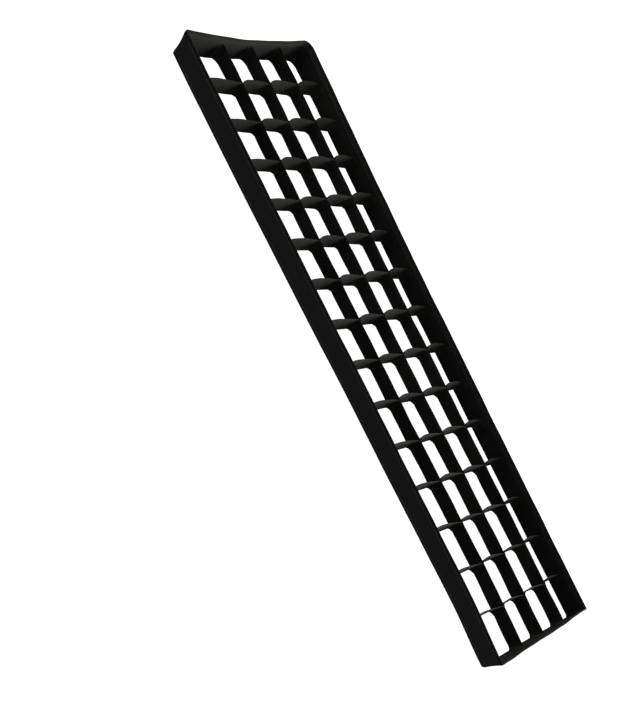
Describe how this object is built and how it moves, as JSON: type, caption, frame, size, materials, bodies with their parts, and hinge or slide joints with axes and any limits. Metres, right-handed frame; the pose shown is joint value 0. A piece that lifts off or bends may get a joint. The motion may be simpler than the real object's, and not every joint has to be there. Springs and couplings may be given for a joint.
{
  "type": "honeycomb grid",
  "caption": "Long rectangular fabric grid for a softbox: cloth walls around half-lapped ribbons in open rectangular cells; it racks flat when the corners fold.",
  "frame": {"origin": "centre of the back rim's rectangle, at the plane the part rests on", "axes": "+X across the short side towards the right wall, +Y along the length towards the top wall, +Z through the depth from the back rim to the front rim"},
  "size_m": [0.4, 1.2, 0.044],
  "materials": {
    "frame_cloth": "matte woven polyester",
    "strip_ribbon": "matte ribbed webbing",
    "hook_tape": "matte hook tape",
    "hem_tape": "matte folded cloth",
    "thread": "matte thread"
  },
  "bodies": {
    "left_wall": {"wall_left": "frame_cloth", "hem_left": "hem_tape", "hook_tape_left": "hook_tape", "tabs_left": "strip_ribbon", "tacks_left": "thread", "corner_seam_top_left": "frame_cloth", "corner_seam_bottom_left": "frame_cloth"},
    "top_wall": {"wall_top": "frame_cloth", "hem_top": "hem_tape", "hook_tape_top": "hook_tape", "tabs_top": "strip_ribbon", "tacks_top": "thread"},
    "right_wall": {"wall_right": "frame_cloth", "hem_right": "hem_tape", "hook_tape_right": "hook_tape", "tabs_right": "strip_ribbon", "tacks_right": "thread", "corner_seam_top_right": "frame_cloth", "corner_seam_bottom_right": "frame_cloth"},
    "bottom_wall": {"wall_bottom": "frame_cloth", "hem_bottom": "hem_tape", "hook_tape_bottom": "hook_tape", "tabs_bottom": "strip_ribbon", "tacks_bottom": "thread"},
    "long_ribbon_1": {"long_strip_1": "strip_ribbon"},
    "long_ribbon_2": {"long_strip_2": "strip_ribbon"},
    "long_ribbon_3": {"long_strip_3": "strip_ribbon"},
    "cross_ribbon_01": {"cross_strip_01": "strip_ribbon"},
    "cross_ribbon_02": {"cross_strip_02": "strip_ribbon"},
    "cross_ribbon_03": {"cross_strip_03": "strip_ribbon"},
    "cross_ribbon_04": {"cross_strip_04": "strip_ribbon"},
    "cross_ribbon_05": {"cross_strip_05": "strip_ribbon"},
    "cross_ribbon_06": {"cross_strip_06": "strip_ribbon"},
    "cross_ribbon_07": {"cross_strip_07": "strip_ribbon"},
    "cross_ribbon_08": {"cross_strip_08": "strip_ribbon"},
    "cross_ribbon_09": {"cross_strip_09": "strip_ribbon"},
    "cross_ribbon_10": {"cross_strip_10": "strip_ribbon"},
    "cross_ribbon_11": {"cross_strip_11": "strip_ribbon"},
    "cross_ribbon_12": {"cross_strip_12": "strip_ribbon"},
    "cross_ribbon_13": {"cross_strip_13": "strip_ribbon"},
    "cross_ribbon_14": {"cross_strip_14": "strip_ribbon"}
  },
  "joints": [
    {"name": "rack_fold", "type": "hinge", "parent": "left_wall", "child": "top_wall", "pos_m": [-0.1969, 0.5969, 0], "axis": [0, 0, 1], "range_deg": [0, 75]},
    {"name": "right_wall_seam", "type": "hinge", "parent": "top_wall", "child": "right_wall", "pos_m": [0.1969, 0.5969, 0], "axis": [0, 0, 1], "range_deg": [-75, 0]},
    {"name": "bottom_wall_seam", "type": "hinge", "parent": "left_wall", "child": "bottom_wall", "pos_m": [-0.1969, -0.5969, 0], "axis": [0, 0, 1], "range_deg": [0, 75]},
    {"name": "long_ribbon_1_fold", "type": "hinge", "parent": "top_wall", "child": "long_ribbon_1", "pos_m": [-0.0812, 0.5969, 0], "axis": [0, 0, 1], "range_deg": [-75, 0]},
    {"name": "long_ribbon_2_fold", "type": "hinge", "parent": "top_wall", "child": "long_ribbon_2", "pos_m": [0.014, 0.5969, 0], "axis": [0, 0, 1], "range_deg": [-75, 0]},
    {"name": "long_ribbon_3_fold", "type": "hinge", "parent": "top_wall", "child": "long_ribbon_3", "pos_m": [0.112, 0.5969, 0], "axis": [0, 0, 1], "range_deg": [-75, 0]},
    {"name": "cross_ribbon_01_fold", "type": "hinge", "parent": "left_wall", "child": "cross_ribbon_01", "pos_m": [-0.1969, 0.52, 0], "axis": [0, 0, 1], "range_deg": [0, 75]},
    {"name": "cross_ribbon_02_fold", "type": "hinge", "parent": "left_wall", "child": "cross_ribbon_02", "pos_m": [-0.1969, 0.44, 0], "axis": [0, 0, 1], "range_deg": [0, 75]},
    {"name": "cross_ribbon_03_fold", "type": "hinge", "parent": "left_wall", "child": "cross_ribbon_03", "pos_m": [-0.1969, 0.36, 0], "axis": [0, 0, 1], "range_deg": [0, 75]},
    {"name": "cross_ribbon_04_fold", "type": "hinge", "parent": "left_wall", "child": "cross_ribbon_04", "pos_m": [-0.1969, 0.28, 0], "axis": [0, 0, 1], "range_deg": [0, 75]},
    {"name": "cross_ribbon_05_fold", "type": "hinge", "parent": "left_wall", "child": "cross_ribbon_05", "pos_m": [-0.1969, 0.2, 0], "axis": [0, 0, 1], "range_deg": [0, 75]},
    {"name": "cross_ribbon_06_fold", "type": "hinge", "parent": "left_wall", "child": "cross_ribbon_06", "pos_m": [-0.1969, 0.12, 0], "axis": [0, 0, 1], "range_deg": [0, 75]},
    {"name": "cross_ribbon_07_fold", "type": "hinge", "parent": "left_wall", "child": "cross_ribbon_07", "pos_m": [-0.1969, 0.04, 0], "axis": [0, 0, 1], "range_deg": [0, 75]},
    {"name": "cross_ribbon_08_fold", "type": "hinge", "parent": "left_wall", "child": "cross_ribbon_08", "pos_m": [-0.1969, -0.04, 0], "axis": [0, 0, 1], "range_deg": [0, 75]},
    {"name": "cross_ribbon_09_fold", "type": "hinge", "parent": "left_wall", "child": "cross_ribbon_09", "pos_m": [-0.1969, -0.12, 0], "axis": [0, 0, 1], "range_deg": [0, 75]},
    {"name": "cross_ribbon_10_fold", "type": "hinge", "parent": "left_wall", "child": "cross_ribbon_10", "pos_m": [-0.1969, -0.2, 0], "axis": [0, 0, 1], "range_deg": [0, 75]},
    {"name": "cross_ribbon_11_fold", "type": "hinge", "parent": "left_wall", "child": "cross_ribbon_11", "pos_m": [-0.1969, -0.28, 0], "axis": [0, 0, 1], "range_deg": [0, 75]},
    {"name": "cross_ribbon_12_fold", "type": "hinge", "parent": "left_wall", "child": "cross_ribbon_12", "pos_m": [-0.1969, -0.36, 0], "axis": [0, 0, 1], "range_deg": [0, 75]},
    {"name": "cross_ribbon_13_fold", "type": "hinge", "parent": "left_wall", "child": "cross_ribbon_13", "pos_m": [-0.1969, -0.44, 0], "axis": [0, 0, 1], "range_deg": [0, 75]},
    {"name": "cross_ribbon_14_fold", "type": "hinge", "parent": "left_wall", "child": "cross_ribbon_14", "pos_m": [-0.1969, -0.52, 0], "axis": [0, 0, 1], "range_deg": [0, 75]}
  ],
  "couplings": [
    {"joint": "right_wall_seam", "follows": "rack_fold", "ratio": -1},
    {"joint": "bottom_wall_seam", "follows": "rack_fold", "ratio": 1},
    {"joint": "long_ribbon_1_fold", "follows": "rack_fold", "ratio": -1},
    {"joint": "long_ribbon_2_fold", "follows": "rack_fold", "ratio": -1},
    {"joint": "long_ribbon_3_fold", "follows": "rack_fold", "ratio": -1},
    {"joint": "cross_ribbon_01_fold", "follows": "rack_fold", "ratio": 1},
    {"joint": "cross_ribbon_02_fold", "follows": "rack_fold", "ratio": 1},
    {"joint": "cross_ribbon_03_fold", "follows": "rack_fold", "ratio": 1},
    {"joint": "cross_ribbon_04_fold", "follows": "rack_fold", "ratio": 1},
    {"joint": "cross_ribbon_05_fold", "follows": "rack_fold", "ratio": 1},
    {"joint": "cross_ribbon_06_fold", "follows": "rack_fold", "ratio": 1},
    {"joint": "cross_ribbon_07_fold", "follows": "rack_fold", "ratio": 1},
    {"joint": "cross_ribbon_08_fold", "follows": "rack_fold", "ratio": 1},
    {"joint": "cross_ribbon_09_fold", "follows": "rack_fold", "ratio": 1},
    {"joint": "cross_ribbon_10_fold", "follows": "rack_fold", "ratio": 1},
    {"joint": "cross_ribbon_11_fold", "follows": "rack_fold", "ratio": 1},
    {"joint": "cross_ribbon_12_fold", "follows": "rack_fold", "ratio": 1},
    {"joint": "cross_ribbon_13_fold", "follows": "rack_fold", "ratio": 1},
    {"joint": "cross_ribbon_14_fold", "follows": "rack_fold", "ratio": 1}
  ]
}
